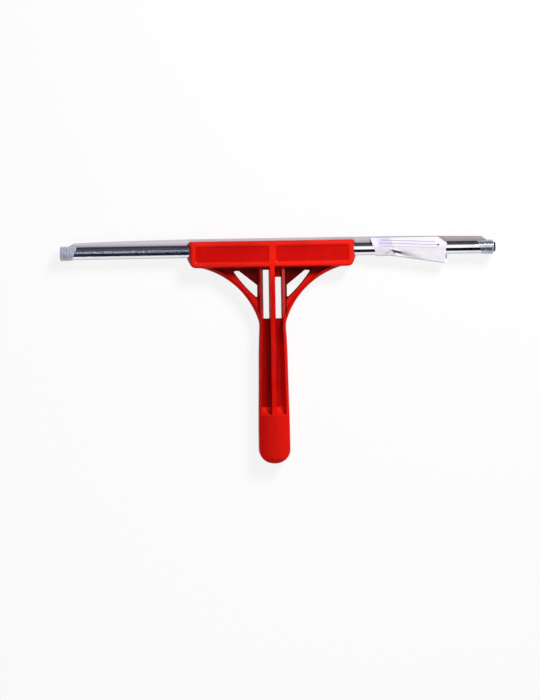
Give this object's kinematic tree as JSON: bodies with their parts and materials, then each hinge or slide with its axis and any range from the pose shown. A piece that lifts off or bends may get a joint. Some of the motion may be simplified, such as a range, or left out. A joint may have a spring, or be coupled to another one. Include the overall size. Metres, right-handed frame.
{
  "type": "window squeegee",
  "caption": "Window squeegee: a ribbed, cored T-handle whose head holds a rolled metal channel with a rubber blade, end caps and bungs, and a paper label wrapped round the bar.",
  "frame": {"origin": "flat back of the head, on the handle's centre line, directly behind the axis of the bar", "axes": "+X along the bar, +Y from the handle towards the wiping edge, +Z out of the front of the tool"},
  "size_m": [0.402, 0.2085, 0.019],
  "materials": {
    "red_plastic": "moulded, glossy",
    "bright_steel": "bright plated",
    "grey_rubber": "matt",
    "pale_plastic": "satin",
    "black_rubber": "matt",
    "label_paper": "creased paper"
  },
  "bodies": {
    "handle": {"handle": "red_plastic"},
    "bar": {"channel_bar": "bright_steel", "blade_rubber": "grey_rubber", "left_end_cap": "pale_plastic", "right_end_cap": "pale_plastic", "left_end_bung": "black_rubber", "right_end_bung": "black_rubber", "paper_label": "label_paper"}
  },
  "joints": [
    {"name": "bar_slide", "type": "slide", "parent": "handle", "child": "bar", "axis": [1, 0, 0], "range_m": [-0.0126, 0.1006]}
  ]
}
